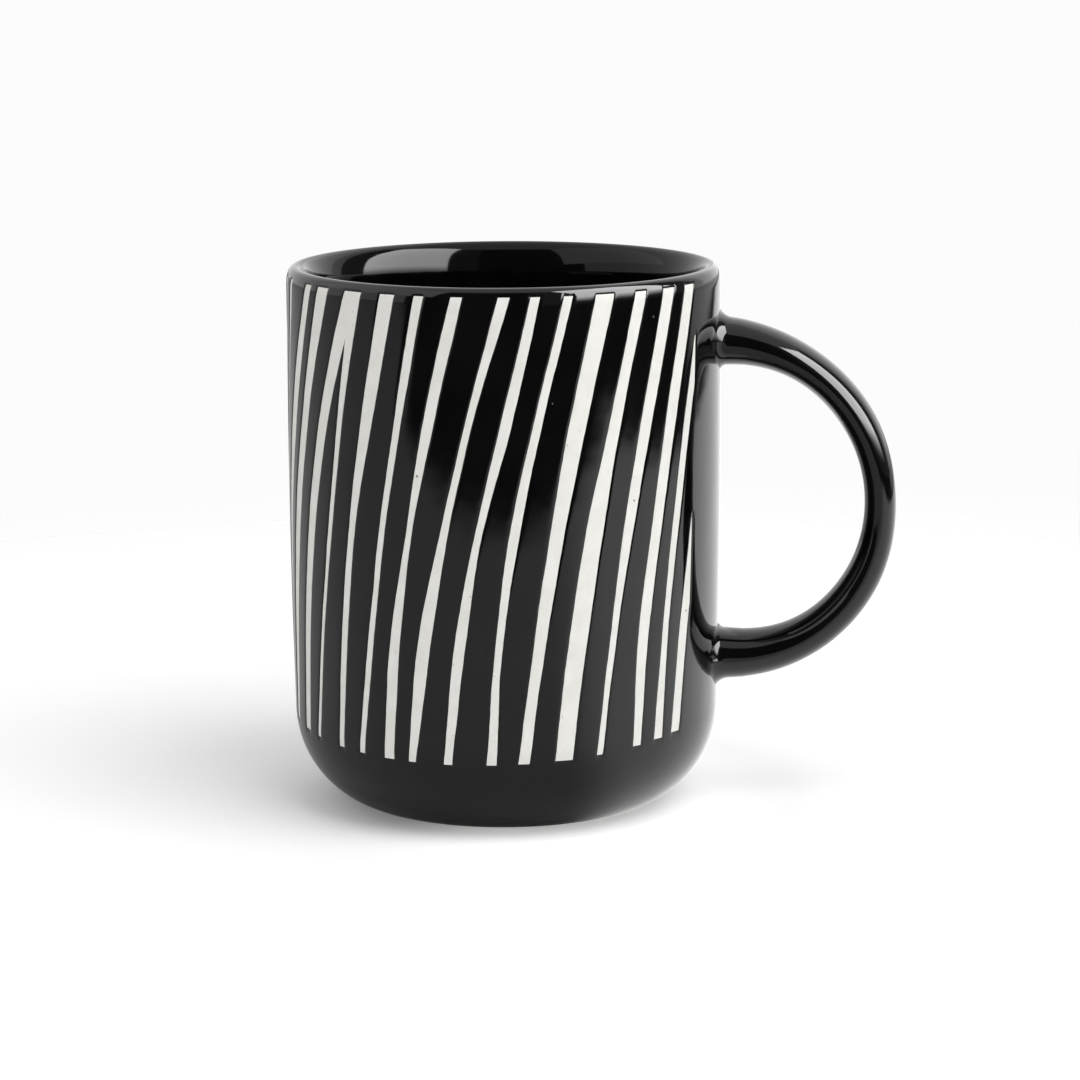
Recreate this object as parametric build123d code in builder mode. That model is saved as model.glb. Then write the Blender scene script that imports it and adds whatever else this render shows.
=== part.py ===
"""Stoneware mug: a thrown clay body, a pulled loop handle luted on with slip, a fired black
glaze in several coats, and white inlaid stripes that lean up the wall.

Frame: millimetres, +Z up, origin on the table at the centre of the foot, handle along +X.
Azimuths are in degrees about +Z, and 0 is the handle.
"""
from build123d import *
from math import cos, radians, sin
from random import Random
import os

# Body: the wall is widest, at mug_radius, two thirds of the way up
mug_height = 104.7
mug_radius = 41.86
rim_radius = 41.73
lip_width = 1.8
lip_rise = 3.2
inner_lip_width = 3.2
inner_lip_rise = 7.0
corner_radius = 41.31
corner_height = 18.8
foot_radius = 26.2
foot_ring_width = 4.2
foot_recess = 1.8
cup_radius = 36.9
cup_floor = 7.0
cup_floor_radius = 20.0
cup_corner_height = 24.0
cup_corner_pull = (32.0, 12.0)

# Outside curves: control points, counted from the ends of the base curve and the wall curve
foot_pull = 5.4
base_pull = (-0.21, -12.35)
wall_pull = (0.38, 22.1)
rim_pull = (0.32, -49.2)

# Coats
glaze = 0.4
stripe_thickness = 0.25
underside_coat = 0.3
glaze_line = 0.45

# Handle: a loop about a centre that lies on the wall, given as sections from root to root:
# angle round the loop, distance from its centre, thickness in its plane, width across it
loop_height = 59.4
loop_sections = (
    (90, 30.7, 9.4, 12.0),
    (60, 30.7, 7.15, 12.8),
    (30, 30.7, 6.6, 11.6),
    (0, 30.85, 6.15, 10.2),
    (-30, 31.5, 7.0, 10.6),
    (-60, 31.55, 8.0, 12.0),
    (-90, 30.5, 9.95, 13.4),
)
root_stub = 4.0

# Slip joints: each collar flares towards the wall, and thins out to less than the coat's
# thickness at its far end; each row is a distance from the wall and how far it stands out
slip_layer = 0.3
collar_steps = ((-2.0, 3.6), (0.0, 2.3), (1.5, 1.0), (3.6, 0.2))

# Stripes: the band that they fill, and the bare panel behind the handle
stripe_top = 103.1
stripe_foot = 15.6
stripe_foot_azimuth = -105
stripe_foot_rise = 2.8
stripe_foot_reach = 71
stripe_foot_limit = 18.4
slot_depth = 8
slot_length = 12
stripe_heights = (stripe_top, 80, 60, 40)
panel_angle_top = 24.3
panel_angle_base = 28.3
panel_base = 20.0
panel_top = 100.0

# Front stripes, one row each from top to foot: azimuths in degrees, then widths in mm
front_stripes = (
    ((-145.5, -156.0, -163.0, -167.5, -170.5), (2.0, 2.9, 2.7, 2.4, 1.9)),
    ((-138.0, -147.5, -154.5, -159.0, -162.0), (3.3, 2.7, 2.9, 2.5, 2.0)),
    ((-126.5, -137.5, -144.5, -149.0, -152.0), (3.4, 2.7, 2.6, 2.3, 2.2)),
    ((-125.0, -131.0, -135.5, -140.0, -144.5), (2.5, 1.2, 1.0, 0.8, 0.9)),
    ((-115.0, -121.5, -127.0, -130.5, -133.5), (3.0, 2.6, 1.5, 1.5, 1.2)),
    ((-106.0, -112.0, -117.0, -121.0, -125.5), (1.8, 1.4, 1.1, 1.1, 1.2)),
    ((-96.0, -103.5, -109.0, -113.5, -116.5), (2.1, 2.0, 1.1, 2.0, 2.1)),
    ((-84.0, -93.0, -99.5, -105.0, -109.5), (2.1, 1.2, 1.4, 2.5, 1.4)),
    ((-76.0, -83.5, -90.5, -95.5, -99.5), (1.7, 1.9, 1.2, 1.9, 1.5)),
    ((-67.5, -75.5, -81.5, -85.5, -88.0), (1.6, 1.5, 1.8, 1.2, 1.8)),
    ((-57.5, -65.0, -70.5, -75.0, -79.5), (3.7, 3.2, 2.7, 2.1, 2.0)),
    ((-46.5, -54.5, -60.5, -65.0, -69.0), (2.5, 2.3, 3.3, 3.5, 3.3)),
    ((-36.5, -44.5, -50.5, -55.0, -59.0), (3.0, 2.5, 2.1, 1.3, 1.0)),
    ((-27.5, -35.5, -41.0, -45.5, -47.5), (3.0, 2.8, 2.4, 2.4, 1.6)),
    ((-19.5, -28.0, -33.5, -37.5, -40.0), (2.8, 1.9, 1.8, 1.3, 2.1)),
    ((-11.0, -18.5, -24.0, -29.5, -33.0), (2.6, 2.6, 3.0, 2.5, 2.2)),
)

# Rear stripes: evenly stepped on from the front ones, with a little unevenness
rear_stripe_count = 18
rear_start = -171.0
rear_pitch = 9.0
rear_lean = (13.0, 6.3, 0.0, -4.5, -8.5)
rear_widths = (1.3, 3.2)
rear_place_play = 1.2
rear_lean_play = 0.7
rear_width_play = 0.4
rear_seed = 7

# Radius of the crest of the lip, where the outside and the inside meet
crest_radius = rim_radius - lip_width

pieces = []


def finish(builder, label):
    """Labels a finished piece and keeps it for export."""
    builder.part.label = label
    pieces.append(builder.part)


def outer_edge(inset):
    """Draws the outside from the foot's edge to the crest of the lip, moved in by inset."""
    foot = Vector(foot_radius - inset, 0)
    corner = Vector(corner_radius - inset, corner_height)
    shoulder = Vector(rim_radius - inset, mug_height - lip_rise)
    Bezier(foot, foot + Vector(foot_pull, 0), corner + Vector(*base_pull), corner)
    Bezier(corner, corner + Vector(*wall_pull), shoulder + Vector(*rim_pull), shoulder)
    EllipticalCenterArc((crest_radius, shoulder.Y), lip_width - inset, lip_rise - inset, 0, arc_size=90)


def inner_edge(inset):
    """Draws the inside from the crest of the lip down to the axis, moved out by inset."""
    shoulder = (crest_radius - inner_lip_width + inset, mug_height - inner_lip_rise)
    corner = (cup_radius + inset, cup_corner_height)
    floor = (cup_floor_radius, cup_floor - inset)
    across = inner_lip_width - inset
    EllipticalCenterArc((crest_radius, shoulder[1]), across, inner_lip_rise - inset, 90, arc_size=90)
    Line(shoulder, corner)
    pull = (cup_corner_pull[0] + inset, cup_corner_pull[1] - inset)
    Bezier(corner, (corner[0], pull[1]), (pull[0], floor[1]), floor)
    Line(floor, (0, floor[1]))


def stripe_end(azimuth):
    """Height of a stripe's lower end: the band's lower edge rises a little towards the handle."""
    reach = (azimuth - stripe_foot_azimuth) / stripe_foot_reach
    return min(stripe_foot + stripe_foot_rise * reach ** 2, stripe_foot_limit)


def rear_stripes():
    """Works out the stripes that carry on round the side away from the front ones."""
    chance = Random(rear_seed)
    stripes = []
    for step in range(rear_stripe_count):
        middle = rear_start - step * rear_pitch + chance.uniform(-rear_place_play, rear_place_play)
        leans = [lean + chance.uniform(-rear_lean_play, rear_lean_play) for lean in rear_lean]
        azimuths = tuple(middle + lean for lean in leans)
        width = chance.uniform(*rear_widths)
        widths = tuple(width + chance.uniform(-rear_width_play, rear_width_play) for _ in rear_lean)
        stripes.append((azimuths, widths))
    return stripes


def radial_plane(azimuth, distance):
    """Upright plane facing outwards at an azimuth, with its own x along the wall and y up."""
    outward = Vector(cos(radians(azimuth)), sin(radians(azimuth)), 0)
    along = Vector(-sin(radians(azimuth)), cos(radians(azimuth)), 0)
    return Plane(origin=outward * distance, x_dir=along, z_dir=outward)


def stripe_side(azimuths, widths, heights, side):
    """Points down one long side of a stripe, as seen square on at its middle azimuth."""
    middle = azimuths[2]
    offsets = [mug_radius * sin(radians(a - middle)) for a in azimuths]
    return [(x + side * w / 2, z) for x, w, z in zip(offsets, widths, heights)]


def loop_plane(angle, distance):
    """Plane square to the handle's centre line, with its own x pointing out from the loop."""
    outward = Vector(cos(radians(angle)), 0, sin(radians(angle)))
    along = Vector(sin(radians(angle)), 0, -cos(radians(angle)))
    centre = Vector(mug_radius, 0, loop_height)
    return Plane(origin=centre + outward * distance, x_dir=outward, z_dir=along)


def loop_solid(inset):
    """The handle's loop, less a coat, with straight stubs that run into the wall."""
    with BuildPart() as loop:
        for angle, distance, thickness, width in loop_sections:
            with BuildSketch(loop_plane(angle, distance)):
                Ellipse(thickness / 2 - inset, width / 2 - inset)
        loft()
        for section, direction in ((loop_sections[0], -1), (loop_sections[-1], 1)):
            angle, distance, thickness, width = section
            with BuildSketch(loop_plane(angle, distance)):
                Ellipse(thickness / 2 - inset, width / 2 - inset)
            extrude(amount=direction * root_stub)
    return loop.part


def collar_solid(section, inset):
    """Flared collar around one end of the handle, filled in, and cut to the wall afterwards."""
    angle, distance, thickness, width = section
    root = loop_plane(angle, distance)
    with BuildPart() as collar:
        for reach, flare in collar_steps:
            place = Plane(origin=root.origin + Vector(reach, 0, 0), x_dir=(0, 0, 1), z_dir=(1, 0, 0))
            with BuildSketch(place):
                Ellipse(thickness / 2 - inset + flare, width / 2 - inset + flare)
        loft()
    return collar.part


# Bulk shapes that the pieces are cut with: the raw body, and the same grown by the slip layer
def filled_body(inset):
    """The outside shape of the body as one filled solid, moved in by inset."""
    with BuildPart() as bulk:
        with BuildSketch(Plane.XZ):
            with BuildLine():
                outer_edge(inset)
                crest = (crest_radius, mug_height - inset)
                Polyline(crest, (0, crest[1]), (0, 0), (foot_radius - inset, 0))
            make_face()
        revolve(axis=Axis.Z)
    return bulk.part


raw_body = filled_body(glaze)
luted_body = filled_body(glaze - slip_layer)
raw_loop = loop_solid(glaze)
glazed_loop = loop_solid(0)
root_sections = (loop_sections[0], loop_sections[-1])
raw_collars = [collar_solid(section, glaze) for section in root_sections]
glazed_collars = [collar_solid(section, 0) for section in root_sections]

# Prisms that cut the stripes' slots, without the bare panel behind the handle
with BuildPart() as stripe_cutters:
    for azimuths, widths in (*front_stripes, *rear_stripes()):
        heights = (*stripe_heights, stripe_end(azimuths[-1]))
        left = stripe_side(azimuths, widths, heights, -1)
        right = stripe_side(azimuths, widths, heights, 1)
        with BuildSketch(radial_plane(azimuths[2], mug_radius - slot_depth)):
            with BuildLine():
                Spline(*left)
                Line(left[-1], right[-1])
                Spline(*right)
                Line(right[0], left[0])
            make_face()
        extrude(amount=slot_length)
    with BuildSketch(Plane.YZ):
        high = mug_radius * sin(radians(panel_angle_top))
        low = mug_radius * sin(radians(panel_angle_base))
        slope = (low - high) / (panel_top - panel_base)
        wide = low + slope * panel_base
        narrow = high - slope * (mug_height - panel_top)
        Polygon((-wide, 0), (wide, 0), (narrow, mug_height), (-narrow, mug_height), align=None)
    extrude(amount=2 * mug_radius, mode=Mode.SUBTRACT)

# Clay body: wall, floor, lip and the bare foot ring
with BuildPart() as clay_body:
    with BuildSketch(Plane.XZ):
        with BuildLine():
            outer_edge(glaze)
            inner_edge(glaze)
            ring_radius = foot_radius - glaze - foot_ring_width
            Polyline(
                (0, cup_floor - glaze),
                (0, foot_recess),
                (ring_radius - foot_recess / 2, foot_recess),
                (ring_radius, 0),
                (foot_radius - glaze, 0),
            )
        make_face()
    revolve(axis=Axis.Z)
finish(clay_body, "clay_body")

# Clay handle: the loop, with its ends coped to stand off the wall by the slip layer
with BuildPart() as clay_handle:
    add(raw_loop)
    add(luted_body, mode=Mode.SUBTRACT)
finish(clay_handle, "clay_handle")

# Slip joints: the layer under each end of the handle and the collar around it
for joint_name, raw_collar in zip(("upper_slip_joint", "lower_slip_joint"), raw_collars):
    with BuildPart() as slip_joint:
        add(raw_collar)
        add(raw_body, mode=Mode.SUBTRACT)
        add(clay_handle.part, mode=Mode.SUBTRACT)
    finish(slip_joint, joint_name)

# Handle glaze: the coat around the loop and both collars
with BuildPart() as handle_envelope:
    add(glazed_loop)
    for glazed_collar in glazed_collars:
        add(glazed_collar)

with BuildPart() as handle_glaze:
    add(handle_envelope.part)
    add(raw_loop, mode=Mode.SUBTRACT)
    for raw_collar in raw_collars:
        add(raw_collar, mode=Mode.SUBTRACT)
    add(raw_body, mode=Mode.SUBTRACT)
finish(handle_glaze, "handle_glaze")

# Outer glaze: from the glaze line to the crest of the lip, open at the stripes and the handle
with BuildPart() as outer_glaze:
    add(filled_body(0))
    add(raw_body, mode=Mode.SUBTRACT)
    with BuildSketch(Plane.XY.offset(glaze_line)):
        Circle(2 * mug_radius)
    extrude(amount=-2 * glaze_line, mode=Mode.SUBTRACT)
    with BuildSketch(Plane.XY.offset(mug_height - 2 * lip_rise)):
        Circle(crest_radius)
    extrude(amount=3 * lip_rise, mode=Mode.SUBTRACT)
    add(stripe_cutters.part, mode=Mode.SUBTRACT)
    add(handle_envelope.part, mode=Mode.SUBTRACT)
finish(outer_glaze, "outer_glaze")

# Liner glaze: from the crest of the lip down the inside and across the floor
with BuildPart() as liner_glaze:
    with BuildSketch(Plane.XZ):
        with BuildLine():
            inner_edge(0)
            inner_edge(glaze)
            Line((crest_radius, mug_height), (crest_radius, mug_height - glaze))
            Line((0, cup_floor), (0, cup_floor - glaze))
        make_face()
    revolve(axis=Axis.Z)
finish(liner_glaze, "liner_glaze")

# Underside glaze: the panel inside the foot ring
with BuildPart() as underside_glaze:
    with BuildSketch(Plane.XY.offset(foot_recess)):
        Circle(foot_radius - glaze - foot_ring_width - foot_recess)
    extrude(amount=-underside_coat)
finish(underside_glaze, "underside_glaze")

# White stripes: thin strips on the clay that fill the slots and lie a little below the glaze
with BuildPart() as white_stripes:
    add(filled_body(glaze - stripe_thickness))
    add(raw_body, mode=Mode.SUBTRACT)
    add(stripe_cutters.part, mode=Mode.INTERSECT)
    add(handle_envelope.part, mode=Mode.SUBTRACT)
finish(white_stripes, "white_stripes")

os.makedirs("parts", exist_ok=True)
for piece in pieces:
    export_step(piece, f"parts/{piece.label}.step")
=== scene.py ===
"""Looks of the stoneware mug: gloss black glaze with matt white inlaid stripes.

Every piece is a closed mesh in the frame of the CAD model: +Z up, origin at the centre of the
foot, handle along +X. Sizes are worked out in millimetres, and turned into metres when a mesh
is made. The studio around the mug is in metres.
"""

import math
from random import Random

import bmesh
import bpy
import numpy as np
from mathutils import Matrix, Vector, kdtree, noise


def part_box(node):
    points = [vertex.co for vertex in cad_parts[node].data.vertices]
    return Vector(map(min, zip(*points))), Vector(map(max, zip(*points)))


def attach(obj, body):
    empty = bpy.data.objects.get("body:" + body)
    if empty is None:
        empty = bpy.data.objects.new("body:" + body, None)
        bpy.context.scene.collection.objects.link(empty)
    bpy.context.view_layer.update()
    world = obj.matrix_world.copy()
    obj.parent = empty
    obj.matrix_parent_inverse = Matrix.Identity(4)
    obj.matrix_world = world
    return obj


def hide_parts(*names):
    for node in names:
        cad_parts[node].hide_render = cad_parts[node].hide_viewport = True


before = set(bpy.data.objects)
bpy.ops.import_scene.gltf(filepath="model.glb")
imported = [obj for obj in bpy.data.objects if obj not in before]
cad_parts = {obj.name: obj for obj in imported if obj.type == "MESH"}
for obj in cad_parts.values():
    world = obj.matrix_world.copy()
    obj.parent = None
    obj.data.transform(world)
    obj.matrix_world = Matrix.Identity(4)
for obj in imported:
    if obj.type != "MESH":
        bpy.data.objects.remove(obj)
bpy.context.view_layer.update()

MM = 0.001


def in_mm(vector):
    """A corner of a CAD box in millimetres."""
    return [value / MM for value in vector]


# Sizes read from the frame
coat_low, coat_high = map(in_mm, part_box("outer_glaze"))
_, clay_high = map(in_mm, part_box("clay_body"))
liner_low, liner_high = map(in_mm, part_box("liner_glaze"))
panel_low, panel_high = map(in_mm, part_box("underside_glaze"))
mug_radius = coat_high[0]
mug_height = coat_high[2]
glaze = mug_height - clay_high[2]
glaze_line = coat_low[2]
lip_centre = liner_high[0]
cup_floor = liner_low[2] + glaze

# Sizes of the body that no box gives
lip_radius = 1.8
rim_radius = lip_centre + lip_radius
corner_radius = 41.31
corner_height = 18.8
foot_radius = 26.2
foot_ring_width = 4.2
foot_recess = panel_high[2]
cup_radius = 36.9
cup_corner_height = 24.0
cup_floor_radius = 20.0
lip_rise = 3.2
lip_power = 2.3
inner_lip_width = 3.2
inner_lip_rise = 7.0
inner_lip_power = 2
panel_edge_width = 0.35
panel_edge_rise = 0.2

# Outside curves: control points, counted from the ends of the base curve and the wall curve
foot_pull = (5.4, 0)
base_pull = (-0.21, -12.35)
wall_pull = (0.38, 22.1)
rim_pull = (0.32, -49.2)

# Inside curves: the wall's pull below the lip, the height of its pull above the corner, and
# the radius and height that the corner's two pulls reach
inner_lip_pull = (0, -20)
cup_wall_pull = 50
cup_corner_pull = (32, 12)

# Handle: a loop about a centre that lies on the wall, given as sections from root to root:
# angle round the loop, distance from its centre, thickness in its plane, width across it
loop_height = 59.4
loop_sections = (
    (90, 30.7, 9.4, 12.0),
    (60, 30.7, 7.15, 12.8),
    (30, 30.7, 6.6, 11.6),
    (0, 30.85, 6.15, 10.2),
    (-30, 31.5, 7.0, 10.6),
    (-60, 31.55, 8.0, 12.0),
    (-90, 30.5, 9.95, 13.4),
)

# Collars: radius of the fillet on the loop's outer and inner side, its share across the handle,
# and how far it is sunk into the wall, which leaves a crease there
fillet_above = 2.4
fillet_below = 1.7
fillet_side_share = 0.9
crease = 0.22

# Stripes: their top, the heights at which they are given, and how far they stand off the clay
stripe_top = 103.1
stripe_heights = (stripe_top, 80.0, 60.0, 40.0)
stripe_level = 0.25

# Lower edge of the band of stripes: lowest at one azimuth, higher on both sides of it
stripe_foot = 15.6
stripe_foot_azimuth = -105
stripe_foot_rise = 2.8
stripe_foot_reach = 71
stripe_foot_limit = 18.4

# Bare panel without stripes on each side of the handle: its side's azimuth at two heights
panel_angle_top = 24.3
panel_angle_base = 28.3
panel_top = 100.0
panel_base = 20.0

# Front stripes, one row each from top to foot: azimuths in degrees, then widths in mm
front_stripes = (
    ((-145.5, -156.0, -163.0, -167.5, -170.5), (2.0, 2.9, 2.7, 2.4, 1.9)),
    ((-138.0, -147.5, -154.5, -159.0, -162.0), (3.3, 2.7, 2.9, 2.5, 2.0)),
    ((-126.5, -137.5, -144.5, -149.0, -152.0), (3.4, 2.7, 2.6, 2.3, 2.2)),
    ((-125.0, -131.0, -135.5, -140.0, -144.5), (2.5, 1.2, 1.0, 0.8, 0.9)),
    ((-115.0, -121.5, -127.0, -130.5, -133.5), (3.0, 2.6, 1.5, 1.5, 1.2)),
    ((-106.0, -112.0, -117.0, -121.0, -125.5), (1.8, 1.4, 1.1, 1.1, 1.2)),
    ((-96.0, -103.5, -109.0, -113.5, -116.5), (2.1, 2.0, 1.1, 2.0, 2.1)),
    ((-84.0, -93.0, -99.5, -105.0, -109.5), (2.1, 1.2, 1.4, 2.5, 1.4)),
    ((-76.0, -83.5, -90.5, -95.5, -99.5), (1.7, 1.9, 1.2, 1.9, 1.5)),
    ((-67.5, -75.5, -81.5, -85.5, -88.0), (1.6, 1.5, 1.8, 1.2, 1.8)),
    ((-57.5, -65.0, -70.5, -75.0, -79.5), (3.7, 3.2, 2.7, 2.1, 2.0)),
    ((-46.5, -54.5, -60.5, -65.0, -69.0), (2.5, 2.3, 3.3, 3.5, 3.3)),
    ((-36.5, -44.5, -50.5, -55.0, -59.0), (3.0, 2.5, 2.1, 1.3, 1.0)),
    ((-27.5, -35.5, -41.0, -45.5, -47.5), (3.0, 2.8, 2.4, 2.4, 1.6)),
    ((-19.5, -28.0, -33.5, -37.5, -40.0), (2.8, 1.9, 1.8, 1.3, 2.1)),
    ((-11.0, -18.5, -24.0, -29.5, -33.0), (2.6, 2.6, 3.0, 2.5, 2.2)),
)

# Rear stripes: evenly stepped on from the front ones, with a little unevenness
rear_stripe_count = 18
rear_start = -171.0
rear_pitch = 9.0
rear_lean = (13.0, 6.3, 0.0, -4.5, -8.5)
rear_widths = (1.3, 3.2)
rear_place_play = 1.2
rear_lean_play = 0.7
rear_width_play = 0.4
rear_seed = 7

# Unevenness: size of the offset, and length of its waves along an edge or over the surface
edge_drift = (0.12, 8)
edge_ripple = (0.05, 1.6)
coat_swell = (0.035, 16)
coat_ripple = (0.012, 5)
inlay_ripple = (0.02, 3)


# Meshes

def make_piece(name, points, faces, material, weld=0.001):
    """A mesh object from points in mm, welded where they meet, smooth except at sharp corners."""
    mesh = bpy.data.meshes.new(name)
    mesh.from_pydata((np.asarray(points) * MM).tolist(), [], faces)
    build = bmesh.new()
    build.from_mesh(mesh)
    bmesh.ops.remove_doubles(build, verts=build.verts, dist=weld * MM)
    bmesh.ops.recalc_face_normals(build, faces=build.faces)
    build.to_mesh(mesh)
    build.free()
    mesh.materials.append(material)
    mesh.shade_smooth()
    mesh.set_sharp_from_angle(angle=math.radians(45))
    piece = bpy.data.objects.new(name, mesh)
    bpy.context.scene.collection.objects.link(piece)
    return piece


def shell_faces(rows, columns, kept):
    """Faces of closed shells: an outer and an inner grid that wrap round, and walls between them.

    kept(row, column) says whether a cell is there. Outer points come first, row by row, and
    the inner points follow in the same order.
    """
    inner = rows * columns
    faces = []

    def corner(row, column):
        return row * columns + column % columns

    def present(row, column):
        return 0 <= row < rows - 1 and kept(row, column % columns)

    for row in range(rows - 1):
        for column in range(columns):
            if not present(row, column):
                continue
            low = [corner(row, column), corner(row, column + 1)]
            high = [corner(row + 1, column + 1), corner(row + 1, column)]
            faces.append(low + high)
            faces.append([point + inner for point in reversed(low + high)])
            borders = (
                (row - 1, column, low[0], low[1]),
                (row, column + 1, low[1], high[0]),
                (row + 1, column, high[0], high[1]),
                (row, column - 1, high[1], low[0]),
            )
            for beside_row, beside_column, start, end in borders:
                if not present(beside_row, beside_column):
                    faces.append([start, start + inner, end + inner, end])
    return faces


def revolve(name, outline, material, segments=256):
    """A closed outline of (radius, height) points in mm, turned about the mug's axis."""
    count = len(outline)
    turns = np.linspace(0, 2 * math.pi, segments, endpoint=False)
    points = [(r * math.cos(t), r * math.sin(t), z) for t in turns for r, z in outline]
    faces = []
    for segment in range(segments):
        here, there = segment * count, (segment + 1) % segments * count
        for n in range(count):
            m = (n + 1) % count
            faces.append([here + n, there + n, there + m, here + m])
    return make_piece(name, points, faces, material)


def bezier(a, b, c, d, count=100):
    """Points along a cubic curve."""
    t = np.linspace(0, 1, count)[:, None]
    a, b, c, d = map(np.asarray, (a, b, c, d))
    return (1 - t) ** 3 * a + 3 * (1 - t) ** 2 * t * b + 3 * (1 - t) * t ** 2 * c + t ** 3 * d


# Body profiles: (radius, height) points in mm

lip_angles = (0, 8, 16, 23, 29, 34, 39, 44, 49, 54, 59, 64, 69, 74, 79, 83, 86, 88, 89.3, 90)
inner_lip_angles = (
    0, 1, 3, 5, 8, 12, 16, 20, 24, 29, 34, 39, 44, 49, 54, 59, 64, 69, 74, 79, 83, 86, 88, 90,
)


def lip_points(angles, width, rise, power, inset):
    """Points over one side of the lip from its shoulder, at 0 degrees, to its crest, at 90.

    Inward widths are negative. A power of 2 gives an ellipse, and a higher one a squarer lip.
    """
    turn = np.radians(angles)
    across = np.cos(turn) ** (2 / power)
    up = np.sin(turn) ** (2 / power)
    radius = lip_centre + (width - math.copysign(inset, width)) * across
    return np.column_stack((radius, mug_height - rise + (rise - inset) * up))


def outside(inset):
    """The outside from the foot's edge to the crest of the lip, moved in by inset."""
    foot = np.array((foot_radius - inset, 0))
    corner = np.array((corner_radius - inset, corner_height))
    shoulder = np.array((rim_radius - inset, mug_height - lip_rise))
    low = bezier(foot, foot + foot_pull, corner + base_pull, corner)
    wall = bezier(corner, corner + wall_pull, shoulder + rim_pull, shoulder)
    lip = lip_points(lip_angles[1:], lip_radius, lip_rise, lip_power, inset)
    return np.vstack((low, wall[1:], lip))


def inside(inset):
    """The inside from the crest of the lip down to the middle of the floor, moved out by inset."""
    angles = inner_lip_angles[::-1]
    lip = lip_points(angles, -inner_lip_width, inner_lip_rise, inner_lip_power, inset)
    corner = (cup_radius + inset, cup_corner_height)
    floor = (cup_floor_radius, cup_floor - inset)
    pull = (cup_corner_pull[0] + inset, cup_corner_pull[1] - inset)
    wall = bezier(lip[-1], lip[-1] + inner_lip_pull, (corner[0], cup_wall_pull), corner)
    curve = bezier(corner, (corner[0], pull[1]), (pull[0], floor[1]), floor, 50)
    middle = [(radius, floor[1]) for radius in (15, 10, 5, 0)]
    return np.vstack((lip, wall[1:], curve[1:], middle))


profile = outside(0)
profile_run = np.concatenate(([0], np.cumsum(np.hypot(*np.diff(profile, axis=0).T))))
lip_runs = profile_run[-len(lip_angles):]


def run_at_height(height):
    """Length along the outside from the foot's edge up to a height."""
    return np.interp(height, profile[:, 1], profile_run)


def wall_radius(height):
    """Radius of the glazed outside at a height on the wall."""
    return np.interp(height, profile[:, 1], profile[:, 0])


def at_run(run):
    """Radius and height of the glazed outside at a length along its profile."""
    return np.interp(run, profile_run, profile[:, 0]), np.interp(run, profile_run, profile[:, 1])


def on_outside(around, run, depth):
    """Points at lengths round the wall and along the profile, a depth under the glazed outside."""
    step = 0.15
    radius, height = at_run(run)
    radius_ahead, height_ahead = at_run(np.minimum(run + step, profile_run[-1]))
    radius_behind, height_behind = at_run(np.maximum(run - step, 0))
    d_radius, d_height = radius_ahead - radius_behind, height_ahead - height_behind
    size = np.hypot(d_radius, d_height)
    radius = radius - depth * d_height / size
    height = height + depth * d_radius / size
    turn = around / mug_radius
    return np.stack((radius * np.cos(turn), radius * np.sin(turn), height), axis=-1)


# Stripes: edges are lengths round the wall in mm from the handle's azimuth

circle = 2 * math.pi * mug_radius


def round_wall(azimuth):
    """Length round the wall for an azimuth in degrees."""
    return math.radians(azimuth) * mug_radius


def stripe_end(azimuth):
    """Height of a stripe's lower end: the band's lower edge rises a little towards the handle."""
    reach = (azimuth - stripe_foot_azimuth) / stripe_foot_reach
    return min(stripe_foot + stripe_foot_rise * reach ** 2, stripe_foot_limit)


def rear_stripes():
    """Works out the stripes that carry on round the side away from the front ones."""
    chance = Random(rear_seed)
    made = []

    def play(size):
        return chance.uniform(-size, size)

    for step in range(rear_stripe_count):
        middle = rear_start - step * rear_pitch + play(rear_place_play)
        azimuths = tuple(middle + lean + play(rear_lean_play) for lean in rear_lean)
        width = chance.uniform(*rear_widths)
        widths = tuple(width + play(rear_width_play) for _ in rear_lean)
        made.append((azimuths, widths))
    return made


def smooth_line(heights, values):
    """A smooth curve through a few values, given from top to foot, as a function of height."""
    x, y = np.array(heights[::-1]), np.array(values[::-1])
    slope = np.gradient(y, x)

    def value_at(height):
        n = int(np.clip(np.searchsorted(x, height) - 1, 0, len(x) - 2))
        span = x[n + 1] - x[n]
        t = (height - x[n]) / span
        start, end = slope[n] * span, slope[n + 1] * span
        rise = y[n + 1] - y[n]
        return y[n] + t * (start + t * (3 * rise - 2 * start - end + t * (start + end - 2 * rise)))

    return value_at


def wobble(place, seed, size, length):
    """A small uneven offset along a line, the same on every run and different for each seed."""
    return size * noise.noise(Vector((place / length, seed * 7.3, 0.5)))


def panel_edge(height):
    """Distance round the wall from the handle to the side of the bare panel."""
    share = (panel_top - height) / (panel_top - panel_base)
    return round_wall(panel_angle_top + share * (panel_angle_base - panel_angle_top))


class Stripe:
    """One leaning stripe, with its two long edges as functions of height."""

    def __init__(self, number, azimuths, widths):
        self.number = number
        self.foot = stripe_end(azimuths[-1])
        heights = (*stripe_heights, self.foot)
        self.centre = smooth_line(heights, [round_wall(azimuth) for azimuth in azimuths])
        self.width = smooth_line(heights, widths)

    def side(self, height, seed):
        """Unevenness of one edge: a slow drift and a finer ripple."""
        return wobble(height, seed, *edge_drift) + wobble(height, seed, *edge_ripple)

    def edges(self, height):
        """Left and right edge at a height, cut off at the bare panel's two sides."""
        centre, half = self.centre(height), self.width(height) / 2
        left = centre - half + self.side(height, self.number)
        right = centre + half + self.side(height, self.number + 50)
        low, high = panel_edge(height) - circle, -panel_edge(height)
        return min(max(left, low), high), min(max(right, low), high)


stripe_rows = sorted((*front_stripes, *rear_stripes()), key=lambda row: row[0][2])
stripes = [Stripe(number, *row) for number, row in enumerate(stripe_rows)]

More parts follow.
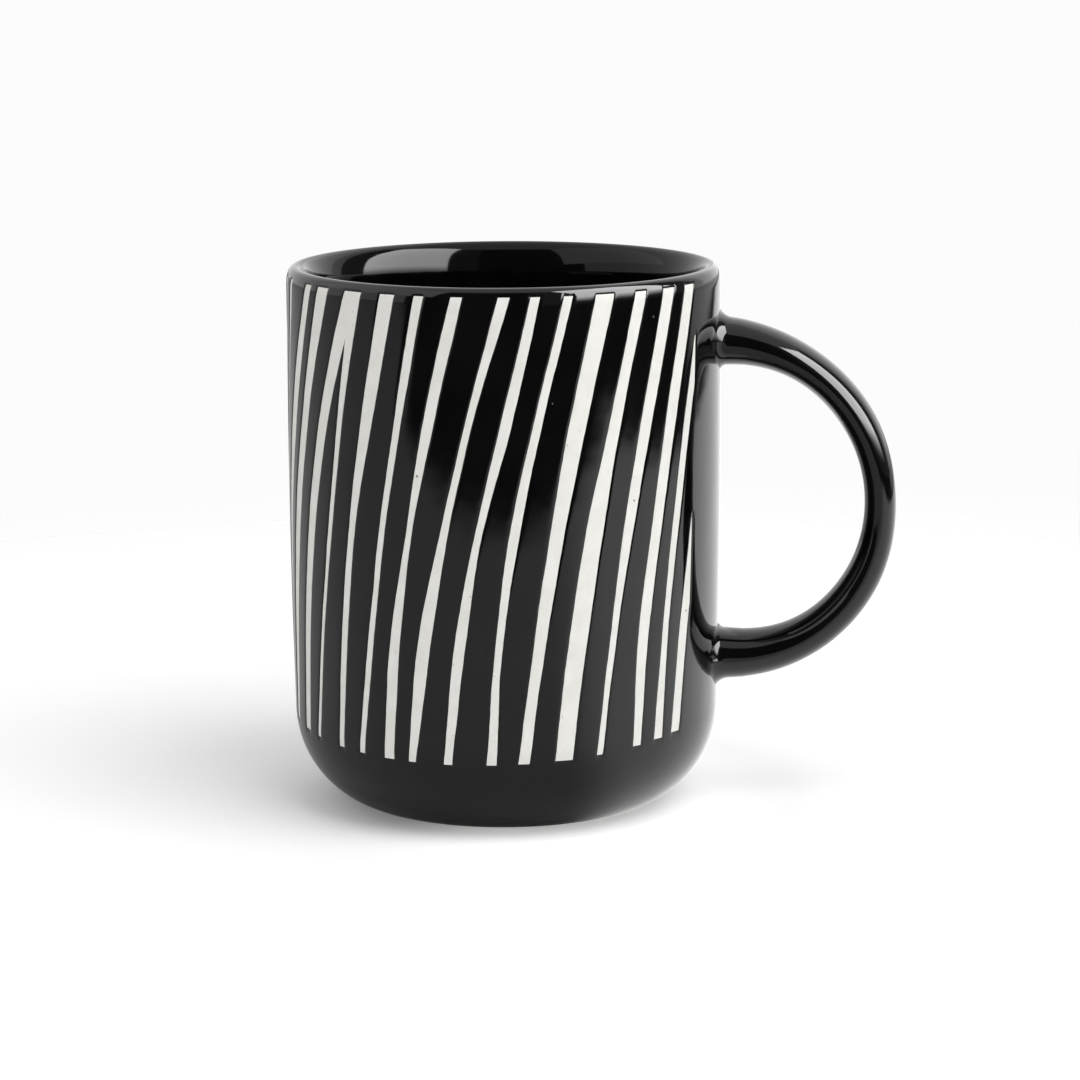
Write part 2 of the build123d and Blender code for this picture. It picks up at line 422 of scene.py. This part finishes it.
# Grid of the outer coat: columns follow the stripes' edges, and rows follow their heights
wall_rows = 140
base_rows = 30
edge_steps = np.array((0.04, 0.10, 0.18, 0.29, 0.43, 0.62))
stripe_shares = (0.25, 0.5, 0.75)
gap_side_share = 0.4
gap_spacing = 0.9
gap_levels = (90, 60, 30)
closed_width = 0.005

# The coat's rounded edges: thickness at a stripe's edge and at the glaze line, how far from
# them it takes to reach the full thickness, and how steeply it falls towards a stripe
edge_rise = 0.21
edge_reach = 0.62
edge_power = 2.2
line_rise = 0.06
line_reach = 1.2

# Stripes narrower than this are left out of a row, and end marks are this far apart
narrowest = 0.02
mark_spacing = 0.08


def gap_places(left, right, middles):
    """Points across a strip of glaze between two stripes, closest together near its sides."""
    width = right - left
    near = edge_steps * min(1, gap_side_share * width / edge_steps[-1])
    inner = np.linspace(near[-1], width - near[-1], middles + 2)[1:-1]
    return left + np.concatenate((near, inner, width - near[::-1]))


def gap_middles():
    """How many points each strip of glaze has between its denser sides."""
    counts = []
    for number, stripe in enumerate(stripes):
        follower = stripes[(number + 1) % len(stripes)]
        turn = circle if number + 1 == len(stripes) else 0
        widths = [follower.edges(z)[0] + turn - stripe.edges(z)[1] for z in gap_levels]
        counts.append(max(2, round(sum(widths) / len(widths) / gap_spacing)))
    return counts


middles_of_gap = gap_middles()
column_stripe = np.concatenate([
    [number] * (len(stripe_shares) + 1) + [-1] * (2 * len(edge_steps) + middles_of_gap[number] + 1)
    for number in range(len(stripes))
])


def wall_row(share):
    """Lengths round the wall and heights of a row's points, a share of the way up the stripes."""
    levels = [stripe.foot + share * (stripe_top - stripe.foot) for stripe in stripes]
    sides = [list(stripe.edges(level)) for stripe, level in zip(stripes, levels)]
    sides.append([sides[0][0] + circle, sides[0][1] + circle])
    levels.append(levels[0])
    for side, following in zip(sides, sides[1:]):
        if following[0] - side[1] < closed_width:
            middle = (following[0] + side[1]) / 2
            side[1], following[0] = middle - closed_width / 2, middle + closed_width / 2
    places, heights = [], []
    for number, (left, right) in enumerate(sides[:-1]):
        across = [left + (right - left) * part for part in (0, *stripe_shares, 1)]
        between = gap_places(right, sides[number + 1][0], middles_of_gap[number])
        climb = (between - right) / (sides[number + 1][0] - right)
        places.extend([*across, *between])
        heights.extend([levels[number]] * len(across))
        heights.extend(levels[number] + climb * (levels[number + 1] - levels[number]))
    return np.array(places), np.array(heights)


def outer_grid():
    """Lengths round the wall and along the profile for every point of the outer coat."""
    wall = [wall_row(row / wall_rows) for row in range(wall_rows + 1)]
    around = [wall[0][0]] * base_rows + [row[0] for row in wall]
    first = run_at_height(glaze_line)
    foot = run_at_height(wall[0][1])
    runs = [first + (foot - first) * row / base_rows for row in range(base_rows)]
    runs += [run_at_height(row[1]) for row in wall]
    top = run_at_height(stripe_top)
    for run in lip_runs[lip_runs > top + 0.05]:
        around.append(wall[-1][0])
        runs.append(np.full(len(wall[-1][0]), run))
    return np.array(around), np.array(runs)


around, runs = outer_grid()
grid_rows, grid_columns = around.shape


def stripe_open(row, column):
    """Whether a stripe shows in a cell of the outer coat's grid."""
    if not base_rows <= row < base_rows + wall_rows:
        return False
    beside = (column + 1) % grid_columns
    width = around[row, beside] - around[row, column] + (circle if beside == 0 else 0)
    above = around[row + 1, beside] - around[row + 1, column] + (circle if beside == 0 else 0)
    wide = max(width, above) > closed_width
    return wide if column_stripe[column] >= 0 else max(width, above) < closed_width / 5


def distance_to_stripes():
    """Distance in mm from every point of the outer coat's grid to the nearest stripe's edge."""
    marks = []
    for stripe in stripes:
        for row in range(wall_rows + 1):
            level = stripe.foot + row / wall_rows * (stripe_top - stripe.foot)
            left, right = stripe.edges(level)
            if right - left < narrowest:
                continue
            run = float(run_at_height(level))
            marks += [(left, run), (right, run)]
            if row in (0, wall_rows):
                marks += [(place, run) for place in np.arange(left, right, mark_spacing)]
    tree = kdtree.KDTree(3 * len(marks))
    for number, (place, run) in enumerate(marks):
        for turn in (-1, 0, 1):
            tree.insert((place + turn * circle, run, 0), 3 * number + turn + 1)
    tree.balance()
    flat = zip(around.ravel().tolist(), runs.ravel().tolist())
    return np.array([tree.find((a, r, 0))[2] for a, r in flat]).reshape(around.shape)


def slow_waves(points, seed, size, length):
    """Gentle unevenness between 0 and a size, in waves of a length, over points in mm."""
    shifted = [Vector(p) / length + Vector((seed, 0, 0)) for p in points.reshape(-1, 3).tolist()]
    values = np.array([noise.noise(p) for p in shifted]) * 0.5 + 0.5
    return size * np.clip(values, 0, 1).reshape(points.shape[:-1])


def coat_thickness():
    """Thickness of the coat: full in the open, rounded down to the stripes and the glaze line."""
    near = np.clip(distance_to_stripes() / edge_reach, 0, 1)
    thickness = glaze - (glaze - edge_rise) * (1 - near) ** edge_power
    from_line = np.clip((runs - runs[0]) / line_reach, 0, 1)
    rounded = line_rise + (glaze - line_rise) * np.sqrt(1 - (1 - from_line) ** 2)
    return np.minimum(thickness, rounded)


def outer_coat(material):
    """The black coat on the outside, open at the stripes, from the glaze line over the lip."""
    full = on_outside(around, runs, 0)
    waves = slow_waves(full, 3.0, *coat_swell) + slow_waves(full, 9.0, *coat_ripple)
    waves *= np.clip((profile_run[-1] - runs) / 2, 0, 1)
    surface = on_outside(around, runs, glaze - coat_thickness() + waves)
    back = on_outside(around, runs, glaze)
    points = np.vstack((surface.reshape(-1, 3), back.reshape(-1, 3)))
    faces = shell_faces(grid_rows, grid_columns, lambda row, column: not stripe_open(row, column))
    return make_piece("outer_coat", points, faces, material, weld=0.012)


def stripe_inlays(material):
    """The white strips on the clay, their faces a little below the black coat around them."""
    points, faces = [], []
    shares = np.linspace(0, 1, 7)
    tuck = 0.06
    thinnest = 0.03
    for stripe in stripes:
        levels = np.linspace(stripe.foot - tuck, stripe_top + tuck, wall_rows + 1)
        sides = [(level, *stripe.edges(level)) for level in levels]
        sides = [side for side in sides if side[2] - side[1] > thinnest]
        place = np.array([left - tuck + shares * (right - left + 2 * tuck) for _, left, right in sides])
        run = np.array([np.full(len(shares), run_at_height(level)) for level, _, _ in sides])
        depth = glaze - stripe_level
        waves = slow_waves(on_outside(place, run, depth), 5.0, *inlay_ripple)
        face = on_outside(place, run, depth + waves)
        back = on_outside(place, run, glaze)
        cells = shell_faces(len(sides), len(shares), lambda row, column: column < len(shares) - 1)
        start = len(points)
        points.extend([*face.reshape(-1, 3), *back.reshape(-1, 3)])
        faces.extend([[start + corner for corner in cell] for cell in cells])
    return make_piece("stripe_inlays", points, faces, material)


# Handle: a tube of rows round a loop, whose first and last rows lie inside the wall

ring_points = 96
fillet_rows = (-0.45, -0.3, -0.15, 0.0, 0.12, 0.26, 0.42, 0.6, 0.8, 1.05, 1.35, 1.7, 2.1, 2.6, 3.2, 4.0)
collar_rows = 13
loop_rows = 90

# Where the loop's own rows start past the fillet, how deep the first rows lie in the wall, the
# least that a collar stands out, and the reach at which the handle's clay starts
loop_clearance = 1.1
hidden_depth = 0.02
thinnest_flare = 0.03
clay_start = -0.3

section_angles, *section_sizes = zip(*loop_sections)
loop_distance, loop_thickness, loop_width = (
    smooth_line(section_angles, values) for values in section_sizes
)


def loop_frame(angle):
    """Centre of the loop's section and its outward direction, in the plane of the handle."""
    turn = math.radians(angle)
    outward = np.array((math.cos(turn), 0, math.sin(turn)))
    return np.array((mug_radius, 0, loop_height)) + outward * loop_distance(angle), outward


def loop_radii(angle):
    """Half thickness in the plane of the handle and half width across it."""
    return loop_thickness(angle) / 2, loop_width(angle) / 2


def angle_at_reach(root, reach):
    """Angle round the loop where its centre line is at a reach from the wall, near a root."""
    return math.copysign(math.degrees(math.acos(max(reach, 0) / loop_distance(root))), root)


def fillet_flare(reach, side):
    """How far the collar stands out from the handle at a distance from the wall."""
    radius = np.where(side > 0, fillet_above, fillet_below)
    short = np.clip(radius - (reach + crease), 0, radius)
    return radius - np.sqrt(radius ** 2 - short ** 2)


def ring(angle, reach, inset, flared=True):
    """One ring of the handle: at an angle round the loop, or at a reach from the wall at a root."""
    turns = np.linspace(0, 2 * math.pi, ring_points, endpoint=False)
    in_plane, across = np.cos(turns), np.sin(turns)
    if reach is not None:
        angle = angle_at_reach(angle, reach)
    centre, outward = loop_frame(angle)
    thickness, width = (half - inset for half in loop_radii(angle))
    if reach is None:
        return centre + np.outer(in_plane * thickness, outward) + np.outer(across * width, (0, 1, 0))
    along = np.full(ring_points, float(reach))
    flare = np.maximum(fillet_flare(along, in_plane), thinnest_flare) if flared else 0
    y = across * (width + flare * fillet_side_share)
    z = centre[2] + outward[2] * in_plane * (thickness + flare)
    wall = np.sqrt((wall_radius(z) - hidden_depth) ** 2 - y ** 2) - mug_radius
    follow = 1 - np.clip(along / fillet_rows[-1], 0, 1) ** 2
    x = mug_radius + along + wall * follow + outward[0] * in_plane * thickness
    return np.column_stack((x, y, z))


def handle_rings(inset, flared=True, reaches=fillet_rows):
    """Rings from the upper root round the loop to the lower root."""
    first, last = (angle_at_reach(root, reaches[-1] + loop_clearance) for root in (90, -90))
    rings = [ring(90, reach, inset, flared) for reach in reaches]
    rings += [ring(angle, None, inset) for angle in np.linspace(first, last, loop_rows)]
    rings += [ring(-90, reach, inset, flared) for reach in reversed(reaches)]
    return np.array(rings)


def slip_collar(name, angle, material):
    """The collar of slip at one root, between the coat and the clay of the handle."""
    reaches = fillet_rows[:collar_rows]
    outer = np.array([ring(angle, reach, glaze) for reach in reaches])
    inner = np.array([ring(angle, reach, glaze, flared=False) for reach in reaches])
    return tube(name, outer, inner, material)


def tube(name, outer, inner, material):
    """A closed tube wall between two stacks of rings."""
    rows, columns = outer.shape[:2]
    points = np.vstack((outer.reshape(-1, 3), inner.reshape(-1, 3)))
    return make_piece(name, points, shell_faces(rows, columns, lambda row, column: True), material)


def solid_tube(name, rings, material):
    """A closed solid from a stack of rings, capped at both ends."""
    rows, columns = rings.shape[:2]
    faces = []
    for row in range(rows - 1):
        for column in range(columns):
            low, beside = row * columns + column, row * columns + (column + 1) % columns
            faces.append([low, beside, beside + columns, low + columns])
    faces.append(list(range(columns)))
    faces.append([(rows - 1) * columns + column for column in reversed(range(columns))])
    return make_piece(name, rings.reshape(-1, 3), faces, material)


# Materials

class Shader:
    """A material's node tree, with short calls to add nodes and link them."""

    def __init__(self, name):
        self.material = bpy.data.materials.new(name)
        self.material.use_nodes = True
        self.tree = self.material.node_tree
        self.surface = self.tree.nodes["Principled BSDF"]
        self.place = self.add("ShaderNodeTexCoord").outputs["Object"]

    def add(self, kind, **values):
        """A node with some of its inputs set or linked, by name with _ for spaces."""
        node = self.tree.nodes.new(kind)
        for name, value in values.items():
            self.put(node, name.replace("_", " "), value)
        return node

    def put(self, node, place, value):
        """Sets one input of a node, by name or number, to a value, or links it to an output."""
        socket = node.inputs[place]
        if isinstance(value, bpy.types.NodeSocket):
            self.tree.links.new(value, socket)
        else:
            socket.default_value = value

    def noise(self, scale, detail=3.0, roughness=0.5):
        """Cloudy values over the object, with features about 1 / scale metres across."""
        clouds = self.add("ShaderNodeTexNoise", Vector=self.place, Scale=scale, Detail=detail)
        clouds.inputs["Roughness"].default_value = roughness
        return clouds.outputs["Fac"]

    def spots(self, scale, size, share):
        """1 inside small round spots, 0 elsewhere: a spot in a share of an uneven grid's cells."""
        cells = self.add("ShaderNodeTexVoronoi", Vector=self.place, Scale=scale)
        near = self.span(cells.outputs["Distance"], size, size * 0.45, 0, 1)
        chance = self.add("ShaderNodeSeparateColor", Color=cells.outputs["Color"])
        picked = self.math("LESS_THAN", chance.outputs[0], share)
        return self.math("MULTIPLY", near, picked)

    def span(self, value, low, high, to_low, to_high):
        """A value mapped smoothly from one range to another."""
        node = self.add("ShaderNodeMapRange")
        node.interpolation_type = "SMOOTHSTEP"
        limits = {"From Min": low, "From Max": high, "To Min": to_low, "To Max": to_high}
        for name, amount in limits.items():
            node.inputs[name].default_value = amount
        self.put(node, "Value", value)
        return node.outputs[0]

    def blend(self, factor, first, second):
        """A mix of two colours."""
        node = self.add("ShaderNodeMix")
        node.data_type = "RGBA"
        self.put(node, 0, factor)
        for number, colour in ((6, first), (7, second)):
            plain = isinstance(colour, tuple)
            self.put(node, number, (*colour, 1) if plain else colour)
        return node.outputs[2]

    def math(self, operation, first, second):
        """The result of a sum on two values."""
        node = self.add("ShaderNodeMath")
        node.operation = operation
        for number, value in enumerate((first, second)):
            self.put(node, number, value)
        return node.outputs[0]

    def blend_value(self, factor, first, second):
        """A mix of two plain values."""
        node = self.add("ShaderNodeMix")
        for number, value in ((0, factor), (2, first), (3, second)):
            self.put(node, number, value)
        return node.outputs[0]

    def mix(self, factor, first, second):
        """A mix of two surfaces."""
        node = self.add("ShaderNodeMixShader")
        for number, value in enumerate((factor, first, second)):
            self.put(node, number, value)
        return node.outputs[0]

    def bump(self, height, distance, strength=1.0, under=None):
        """A bump normal from a height between 0 and 1, over an earlier normal if there is one."""
        node = self.add("ShaderNodeBump", Height=height, Distance=distance, Strength=strength)
        if under is not None:
            self.put(node, "Normal", under)
        return node.outputs[0]


def black_glaze(name, gloss):
    """Gloss black glaze: a faint warm mottle, soft ripples and a few pinholes.

    gloss is the refractive index, which sets how strongly the glaze reflects.
    """
    shader = Shader(name)
    mottle = shader.span(shader.noise(90, 4), 0.35, 0.7, 0, 1)
    colour = shader.blend(mottle, (0.0014, 0.0014, 0.0014), (0.0026, 0.0025, 0.0024))
    rough = shader.span(shader.noise(160, 3), 0.3, 0.7, 0.045, 0.085)
    ripple = shader.bump(shader.noise(90, 2), 0.00006)
    pinholes = shader.spots(230, 0.06, 0.05)
    dimples = shader.bump(pinholes, -0.00008, under=ripple)
    shader.put(shader.surface, "Base Color", colour)
    shader.put(shader.surface, "Roughness", rough)
    shader.put(shader.surface, "Normal", dimples)
    shader.surface.inputs["IOR"].default_value = gloss
    return shader.material


def stripe_white():
    """Matt warm white, slightly mottled, with scattered tiny dark specks."""
    shader = Shader("stripe_white")
    mottle = shader.span(shader.noise(260, 4), 0.3, 0.7, 0, 1)
    base = shader.blend(mottle, (0.68, 0.67, 0.635), (0.73, 0.72, 0.69))
    fine = shader.spots(900, 0.16, 0.035)
    coarse = shader.spots(330, 0.10, 0.05)
    speckled = shader.blend(fine, base, (0.36, 0.33, 0.29))
    speckled = shader.blend(coarse, speckled, (0.16, 0.145, 0.13))
    grain = shader.bump(shader.noise(1400, 2), 0.00003)
    shader.put(shader.surface, "Base Color", speckled)
    shader.put(shader.surface, "Roughness", shader.span(shader.noise(400), 0.3, 0.7, 0.5, 0.62))
    shader.put(shader.surface, "Normal", grain)
    shader.surface.inputs["Specular IOR Level"].default_value = 0.15
    return shader.material


def stoneware():
    """Bare fired clay: pale grey-buff, gritty, with dark specks."""
    shader = Shader("stoneware")
    cloud = shader.span(shader.noise(70, 5), 0.3, 0.7, 0, 1)
    base = shader.blend(cloud, (0.60, 0.55, 0.47), (0.70, 0.66, 0.58))
    specks = shader.spots(520, 0.22, 0.16)
    colour = shader.blend(specks, base, (0.20, 0.17, 0.14))
    grit = shader.bump(shader.noise(1500, 4, 0.7), 0.00018)
    shader.put(shader.surface, "Base Color", colour)
    shader.put(shader.surface, "Roughness", shader.span(cloud, 0, 1, 0.8, 0.92))
    shader.put(shader.surface, "Normal", grit)
    return shader.material


def joining_slip():
    """Fired slip of the same clay, smoother and a little paler."""
    shader = Shader("joining_slip")
    cloud = shader.span(shader.noise(110, 4), 0.3, 0.7, 0, 1)
    shader.put(shader.surface, "Base Color", shader.blend(cloud, (0.64, 0.59, 0.52), (0.71, 0.66, 0.59)))
    shader.put(shader.surface, "Roughness", shader.span(cloud, 0, 1, 0.75, 0.85))
    shader.put(shader.surface, "Normal", shader.bump(shader.noise(900, 3), 0.0001))
    return shader.material


glaze_material = black_glaze("black_glaze", 1.41)
lining_material = black_glaze("black_glaze_inside", 1.28)
clay_material = stoneware()
slip_material = joining_slip()


# The mug's pieces, each standing for its CAD node

def stand_for(piece, node):
    """Puts a finished piece on the mug in place of its CAD node."""
    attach(piece, "root")
    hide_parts(node)


def clay_pot():
    """The clay body: coated outside, lip, inside and floor, with a recessed base and a bare foot."""
    ring_radius = foot_radius - glaze - foot_ring_width
    outer, inner = outside(glaze), inside(glaze)
    base = [
        (0, foot_recess),
        (ring_radius - 1.2, foot_recess),
        (ring_radius - 0.7, foot_recess - 0.35),
        (ring_radius - 0.35, 0.35),
        (ring_radius - 0.12, 0.08),
        (ring_radius + 0.15, 0),
    ]
    return revolve("clay_pot", np.vstack((outer, inner[1:], base)), clay_material)


def lining():
    """The coat inside the mug, from the crest of the lip to the middle of the floor."""
    return revolve("lining_coat", np.vstack((inside(0), inside(glaze)[::-1])), lining_material)


def base_panel():
    """The glazed panel inside the foot ring, with a rounded edge."""
    edge, low, high = panel_high[0], panel_low[2], panel_high[2]
    rounded = [
        (edge - panel_edge_width * (1 - math.sin(turn)), low + panel_edge_rise * (1 - math.cos(turn)))
        for turn in np.linspace(0, math.pi / 2, 6)
    ]
    inner_rings = [(radius, low) for radius in (0, 7, 14, edge - 1.5)]
    return revolve("base_panel_coat", [*inner_rings, *rounded, (edge, high), (0, high)], glaze_material)


def black_coats():
    """The four coats of black glaze."""
    handle_coat = tube("handle_coat", handle_rings(0), handle_rings(glaze), glaze_material)
    stand_for(outer_coat(glaze_material), "outer_glaze")
    stand_for(lining(), "liner_glaze")
    stand_for(base_panel(), "underside_glaze")
    stand_for(handle_coat, "handle_glaze")


def clay_and_slip():
    """The clay body, the clay handle and the two slip joints between them."""
    reaches = [reach for reach in fillet_rows if reach >= clay_start]
    handle = solid_tube("clay_loop", handle_rings(glaze, False, reaches), clay_material)
    stand_for(clay_pot(), "clay_body")
    stand_for(handle, "clay_handle")
    stand_for(slip_collar("upper_collar", 90, slip_material), "upper_slip_joint")
    stand_for(slip_collar("lower_collar", -90, slip_material), "lower_slip_joint")


black_coats()
clay_and_slip()
stand_for(stripe_inlays(stripe_white()), "white_stripes")


# Studio: camera, floor, sky, cards and light

# Camera: turned round the mug's axis, its distance and height, its aim in radians, its lens
camera_turn = math.radians(6.0)
camera_distance = 0.68435
camera_height = 0.18227
camera_pan = 0.0099
camera_pitch = 0.19025
camera_roll = -0.0049
camera_lens = 119.09

# Tones of the floor and the sky: shown to the camera, lighting the mug, and mirrored in it; the mirrored
# floor is painted darker
floor_tone = 0.80
mirrored_floor_tone = 0.56
shown_sky_tone = 0.97
sky_tone = 0.78
mirrored_sky_tone = 1.1

# Floor: where it fades out, and its painted glow, seen by the camera alone, that lightens its shadow all
# over and its shade close to the mug's front
floor_radius = 3
floor_fade = (0.12, 0.40)
painted_floor_glow = 0.12
painted_contact_light = 0.25
contact_reach = (0.058, 0.036)
contact_front = (-50, 0)

# What the glaze reflects of the floor is painted, as a table in a dark room that glows on the
# right: edges as spans in metres over which it fades, azimuths in degrees from the camera, to the right
table_front = (0.295, 0.395)
table_right = (0.42, 0.50)
room_right = (0.50, 0.62)
room_left = (-56, -48)
room_behind = (104, 118)
room_tone = 0.05
bright_right = (20, 50)
painted_reflection_glow = 0.8

# Cards around the mug that only the glaze reflects: name, azimuths in degrees, heights and
# distance in metres, brightness at foot and top
softbox_span = (36, 97)
cards = (
    ("left_reflector", (-117, -38), (0.5, 2.2), 1.5, (1.55, 1.55)),
    ("softbox_foot", softbox_span, (0.12, 0.42), 1.2, (0.5, 14)),
    ("softbox", softbox_span, (0.42, 1.95), 1.2, (14, 16)),
    ("back_reflector", (129, 172), (0.1, 3.0), 1.6, (1.6, 1.6)),
)

# Dark walls of the room: cards of one width side by side, less dark from an azimuth on
wall_azimuths = range(-52, 118, 17)
wall_heights = (0, 2.6)
wall_distance = 1.8
wall_paler_from = 16
wall_paler = 4

# The one light: azimuth, elevation, distance, size, power and the point it faces
key_light = (48, 57, 1.3, (1.0, 1.0), 10.2)
light_aim = Vector((0, 0, 0.05))


def towards(azimuth, elevation, distance):
    """A point seen from the mug at an azimuth, counted from the camera to the right, in degrees."""
    turn = math.radians(azimuth - 90) + camera_turn
    lift = math.radians(elevation)
    flat = distance * math.cos(lift)
    return Vector((flat * math.cos(turn), flat * math.sin(turn), distance * math.sin(lift)))


def add_camera():
    """The camera at the picture's angle."""
    data = bpy.data.cameras.new("camera")
    data.lens = camera_lens
    data.sensor_width = 36
    camera = bpy.data.objects.new("camera", data)
    bpy.context.scene.collection.objects.link(camera)
    forward = Vector((
        math.sin(camera_pan) * math.cos(camera_pitch),
        math.cos(camera_pan) * math.cos(camera_pitch),
        -math.sin(camera_pitch),
    ))
    right = forward.cross(Vector((0, 0, 1))).normalized()
    up = right.cross(forward)
    cosine, sine = math.cos(camera_roll), math.sin(camera_roll)
    right, up = cosine * right + sine * up, cosine * up - sine * right
    axes = Matrix((right, up, -forward)).transposed().to_4x4()
    place = Matrix.Translation((0, -camera_distance, camera_height)) @ axes
    camera.matrix_world = Matrix.Rotation(camera_turn, 4, "Z") @ place
    bpy.context.scene.camera = camera


def add_floor():
    """A pale round floor that fades out into the white sky.

    For the camera alone it glows, a painted light that lightens its shadow, and more so its shade
    close to the mug's front. Reflections see it as a painted table in a room: brighter on the
    right, and dark past its front and right-hand edges.
    """
    bpy.ops.mesh.primitive_circle_add(
        vertices=128, radius=floor_radius, fill_type="NGON", rotation=(0, 0, camera_turn),
    )
    floor = bpy.context.object
    floor.name = "floor"
    shader = Shader("floor")
    reach = shader.add("ShaderNodeVectorMath", Vector=shader.place)
    reach.operation = "LENGTH"
    fade = shader.span(reach.outputs["Value"], *floor_fade, 0, 1)
    parts = shader.add("ShaderNodeSeparateXYZ", Vector=shader.place)
    ahead = shader.math("MULTIPLY", parts.outputs["Y"], -1)
    azimuth = shader.math("ARCTAN2", parts.outputs["X"], ahead)
    past_front = shader.span(ahead, *table_front, 0, 1)
    past_right = shader.span(parts.outputs["X"], *table_right, 0, 1)
    behind = shader.span(azimuth, *map(math.radians, room_behind), 0, 1)
    far = shader.span(parts.outputs["X"], *room_right, 1, 0.5)
    past_right = shader.math("MULTIPLY", past_right, shader.blend_value(behind, 1, far))
    past = shader.math("MAXIMUM", past_front, past_right)
    side = shader.span(azimuth, *map(math.radians, room_left), 0, 1)
    path = shader.add("ShaderNodeLightPath")
    seen, mirrored = path.outputs["Is Camera Ray"], path.outputs["Is Glossy Ray"]
    # Painted reflection: only glossy rays see the dark room past the table's edges
    dark = shader.math("MULTIPLY", shader.math("MULTIPLY", past, side), mirrored)
    glow = shader.span(azimuth, *map(math.radians, bright_right), 0, painted_reflection_glow)
    surface = shader.surface
    # Painted reflection: glossy rays see the floor darker, and glowing on the right
    tone = shader.blend(mirrored, (floor_tone,) * 3, (mirrored_floor_tone,) * 3)
    shader.put(surface, "Base Color", tone)
    surface.inputs["Roughness"].default_value = 0.9
    surface.inputs["Specular IOR Level"].default_value = 0.2
    # Painted light: a glow that only the camera sees, all over the floor and stronger close to the mug's
    # front, lightening the shadow and shade there
    close = shader.span(reach.outputs["Value"], *contact_reach, 0, painted_contact_light)
    facing = shader.span(azimuth, *map(math.radians, contact_front), 0, 1)
    lift = shader.math("ADD", shader.math("MULTIPLY", close, facing), painted_floor_glow)
    lit = shader.math("MULTIPLY", seen, lift)
    shine = shader.math("MULTIPLY", glow, mirrored)
    surface.inputs["Emission Color"].default_value = (1, 1, 1, 1)
    shader.put(surface, "Emission Strength", shader.math("ADD", lit, shine))
    room = shader.add("ShaderNodeEmission", Strength=room_tone)
    clear = shader.add("ShaderNodeBsdfTransparent")
    faded = shader.mix(shader.math("MULTIPLY", fade, seen), surface.outputs[0], clear.outputs[0])
    output = shader.tree.nodes["Material Output"]
    shader.put(output, "Surface", shader.mix(dark, faded, room.outputs[0]))
    floor.data.materials.append(shader.material)


def add_sky():
    """A plain white surround for the camera, and a soft grey one for light and reflections."""
    world = bpy.data.worlds.new("studio")
    bpy.context.scene.world = world
    world.use_nodes = True
    tree = world.node_tree
    tree.nodes.remove(tree.nodes["Background"])

    def background(tone):
        node = tree.nodes.new("ShaderNodeBackground")
        node.inputs["Color"].default_value = (1, 1, 1, 1)
        node.inputs["Strength"].default_value = tone
        return node.outputs[0]

    def mixed(factor, first, second):
        node = tree.nodes.new("ShaderNodeMixShader")
        for number, value in enumerate((factor, first, second)):
            tree.links.new(value, node.inputs[number])
        return node.outputs[0]

    path = tree.nodes.new("ShaderNodeLightPath")
    soft = mixed(path.outputs["Is Glossy Ray"], background(sky_tone), background(mirrored_sky_tone))
    shown = mixed(path.outputs["Is Camera Ray"], soft, background(shown_sky_tone))
    tree.links.new(shown, tree.nodes["World Output"].inputs["Surface"])


def only_in_reflections(thing):
    """Hides a card from everything but glossy reflections, so that it lights and shades nothing."""
    thing.visible_camera = False
    thing.visible_diffuse = False
    thing.visible_shadow = False
    thing.visible_transmission = False
    thing.visible_volume_scatter = False


def add_card(name, corners, tones):
    """A flat card that shows only in glossy reflections, with its brightness at foot and top."""
    mesh = bpy.data.meshes.new(name)
    turn = Matrix.Rotation(camera_turn, 4, "Z")
    mesh.from_pydata([turn @ Vector(corner) for corner in corners], [], [list(range(len(corners)))])
    heights = [corner[2] for corner in corners]
    shader = Shader(name)
    height = shader.add("ShaderNodeSeparateXYZ", Vector=shader.place).outputs["Z"]
    tone = shader.span(height, min(heights) - 0.001, max(heights), *tones)
    glow = shader.add("ShaderNodeEmission", Strength=tone)
    shader.put(shader.tree.nodes["Material Output"], "Surface", glow.outputs[0])
    mesh.materials.append(shader.material)
    card = bpy.data.objects.new(name, mesh)
    bpy.context.scene.collection.objects.link(card)
    only_in_reflections(card)


def upright_card(name, azimuths, heights, distance, tones):
    """An upright card between two azimuths, counted from the camera to the right, in degrees."""
    turns = [math.radians(azimuth) for azimuth in azimuths]
    (x0, y0), (x1, y1) = [(distance * math.sin(turn), -distance * math.cos(turn)) for turn in turns]
    low, high = heights
    add_card(name, [(x0, y0, low), (x1, y1, low), (x1, y1, high), (x0, y0, high)], tones)


def add_room_walls():
    """The room's dark walls, from the left of the camera round to the right."""
    for first in wall_azimuths:
        tone = room_tone if first < wall_paler_from else wall_paler * room_tone
        name = f"room_{first - wall_azimuths.start}"
        span = (first, first + wall_azimuths.step)
        upright_card(name, span, wall_heights, wall_distance, (tone, tone))


def add_light(name, azimuth, elevation, distance, size, power):
    """A soft rectangular light that faces the mug; cards stand in for it in reflections."""
    data = bpy.data.lights.new(name, "AREA")
    data.shape = "RECTANGLE"
    data.size, data.size_y = size
    data.energy = power
    light = bpy.data.objects.new(name, data)
    bpy.context.scene.collection.objects.link(light)
    light.location = towards(azimuth, elevation, distance)
    light.rotation_euler = (light_aim - light.location).to_track_quat("-Z", "Y").to_euler()
    light.visible_glossy = False


add_camera()
add_floor()
add_sky()
add_light("key_light", *key_light)
add_room_walls()
for card in cards:
    upright_card(*card)
bpy.context.scene.view_settings.view_transform = "Standard"
